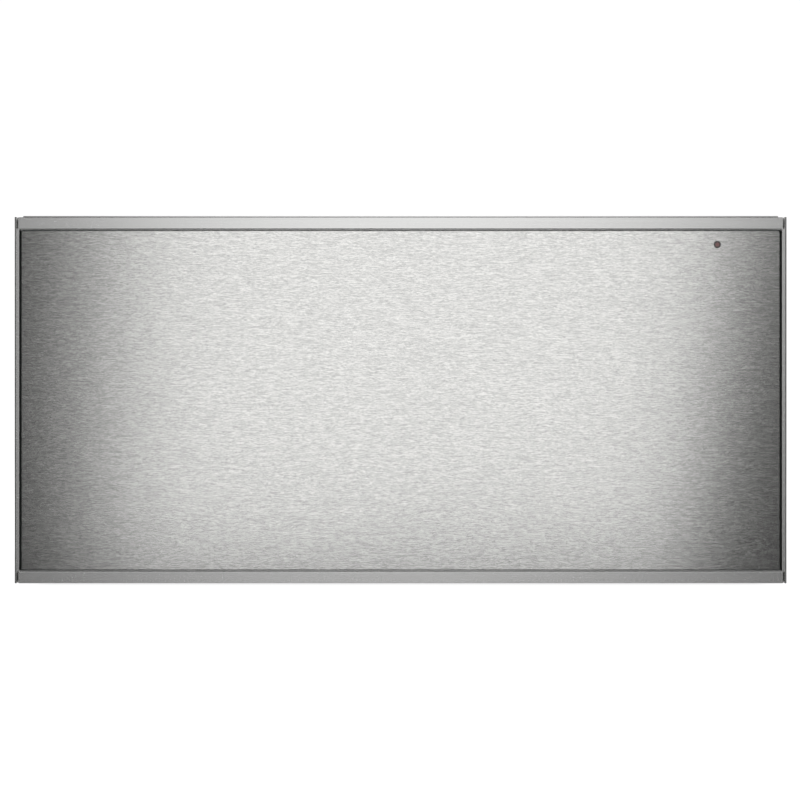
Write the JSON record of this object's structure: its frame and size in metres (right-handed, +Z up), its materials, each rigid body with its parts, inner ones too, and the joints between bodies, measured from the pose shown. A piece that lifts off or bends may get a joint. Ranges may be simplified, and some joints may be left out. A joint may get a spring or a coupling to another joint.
{
  "type": "warming drawer",
  "caption": "Built-in push-to-open warming drawer: glass-over-steel front in slim rails, heated tray on telescopic ball runners, fan and ring heater at the back.",
  "frame": {"origin": "on the floor of the appliance, under the middle of its bounding box", "axes": "+X to the right seen from the front, +Y to the back, +Z up; the drawer opens towards -Y"},
  "size_m": [0.59, 0.535, 0.2829],
  "materials": {
    "sheet_steel": "galvanised, dull",
    "stainless_liner": "satin",
    "brushed_face": "horizontal brushed grain",
    "clear_glass": "polished",
    "anodised_profile": "satin anodised",
    "dark_collar": "matt enamel",
    "wool": "fibrous",
    "motor_iron": "laminated, lacquered",
    "fan_metal": "rolled",
    "heater_tube": "heat-tinted",
    "black_plastic": "fine texture",
    "board_green": "lacquered board",
    "light_plastic": "moulded",
    "black_rubber": "matt",
    "spring_steel": "drawn wire",
    "screw_steel": "zinc plated",
    "runner_steel": "zinc plated",
    "cage_brass": "stamped",
    "lamp_red": "unlit lamp lens",
    "lamp_ring": "matt",
    "plate_glass": "toughened, dark backed",
    "mat_silicone": "matt",
    "knob_metal": "turned"
  },
  "bodies": {
    "housing": {"base_pan": "sheet_steel", "left_side_panel": "sheet_steel", "right_side_panel": "sheet_steel", "rear_panel": "sheet_steel", "top_cover": "sheet_steel", "front_collar": "dark_collar", "left_mounting_flange": "sheet_steel", "right_mounting_flange": "sheet_steel", "ceiling_liner": "stainless_liner", "ceiling_insulation": "wool", "fan_baffle": "stainless_liner", "fan_bracket": "sheet_steel", "fan_motor": "motor_iron", "ring_heater": "heater_tube", "safety_thermostat": "black_plastic", "power_box": "black_plastic", "power_board": "board_green", "power_box_cover": "black_plastic", "terminal_block": "light_plastic", "mains_grommet": "black_rubber", "latch_body": "light_plastic", "latch_spring": "spring_steel", "left_runner_outer": "runner_steel", "right_runner_outer": "runner_steel", "runner_stops": "black_rubber", "housing_screws": "screw_steel"},
    "drawer": {"front_glass": "clear_glass", "front_steel_sheet": "brushed_face", "left_side_profile": "anodised_profile", "right_side_profile": "anodised_profile", "top_rail": "anodised_profile", "bottom_rail": "anodised_profile", "front_carrier": "sheet_steel", "front_insulation": "wool", "indicator_lens": "lamp_red", "indicator_bezel": "lamp_ring", "indicator_board": "board_green", "front_buffers": "black_rubber", "latch_striker": "sheet_steel", "drawer_chassis": "sheet_steel", "drawer_liner": "stainless_liner", "liner_rear_grille": "stainless_liner", "heated_glass_plate": "plate_glass", "heating_mat": "mat_silicone", "base_insulation": "wool", "control_panel": "black_plastic", "selector_switch": "light_plastic", "limit_thermostat": "black_plastic", "left_runner_inner": "runner_steel", "right_runner_inner": "runner_steel", "drawer_screws": "screw_steel"},
    "left_runner_middle": {"left_runner_middle": "runner_steel"},
    "right_runner_middle": {"right_runner_middle": "runner_steel"},
    "left_outer_ball_cage": {"left_outer_ball_cage": "cage_brass"},
    "right_outer_ball_cage": {"right_outer_ball_cage": "cage_brass"},
    "left_inner_ball_cage": {"left_inner_ball_cage": "cage_brass"},
    "right_inner_ball_cage": {"right_inner_ball_cage": "cage_brass"},
    "selector_knob": {"selector_knob": "knob_metal"},
    "fan_impeller": {"fan_impeller": "fan_metal"},
    "latch_plunger": {"latch_plunger": "black_plastic"}
  },
  "joints": [
    {"name": "drawer_slide", "type": "slide", "parent": "housing", "child": "drawer", "axis": [0, -1, 0], "range_m": [0, 0.4]},
    {"name": "left_runner_middle_slide", "type": "slide", "parent": "housing", "child": "left_runner_middle", "axis": [0, -1, 0], "range_m": [0, 0.2]},
    {"name": "left_outer_ball_cage_slide", "type": "slide", "parent": "housing", "child": "left_outer_ball_cage", "axis": [0, -1, 0], "range_m": [0, 0.1]},
    {"name": "left_inner_ball_cage_slide", "type": "slide", "parent": "housing", "child": "left_inner_ball_cage", "axis": [0, -1, 0], "range_m": [0, 0.3]},
    {"name": "right_runner_middle_slide", "type": "slide", "parent": "housing", "child": "right_runner_middle", "axis": [0, -1, 0], "range_m": [0, 0.2]},
    {"name": "right_outer_ball_cage_slide", "type": "slide", "parent": "housing", "child": "right_outer_ball_cage", "axis": [0, -1, 0], "range_m": [0, 0.1]},
    {"name": "right_inner_ball_cage_slide", "type": "slide", "parent": "housing", "child": "right_inner_ball_cage", "axis": [0, -1, 0], "range_m": [0, 0.3]},
    {"name": "selector_turn", "type": "hinge", "parent": "drawer", "child": "selector_knob", "pos_m": [0.215, -0.2305, 0.2168], "axis": [0, 0, 1], "range_deg": [-240, 0]},
    {"name": "fan_spin", "type": "hinge", "parent": "housing", "child": "fan_impeller", "pos_m": [0, 0.2125, 0.12], "axis": [0, 1, 0], "continuous": true},
    {"name": "latch_press", "type": "slide", "parent": "housing", "child": "latch_plunger", "axis": [0, 1, 0], "range_m": [0, 0.003], "stiffness_N_per_m": 400, "deforming": ["latch_spring"]}
  ],
  "couplings": [
    {"joint": "left_runner_middle_slide", "follows": "drawer_slide", "ratio": 0.5},
    {"joint": "left_outer_ball_cage_slide", "follows": "drawer_slide", "ratio": 0.25},
    {"joint": "left_inner_ball_cage_slide", "follows": "drawer_slide", "ratio": 0.75},
    {"joint": "right_runner_middle_slide", "follows": "drawer_slide", "ratio": 0.5},
    {"joint": "right_outer_ball_cage_slide", "follows": "drawer_slide", "ratio": 0.25},
    {"joint": "right_inner_ball_cage_slide", "follows": "drawer_slide", "ratio": 0.75}
  ]
}
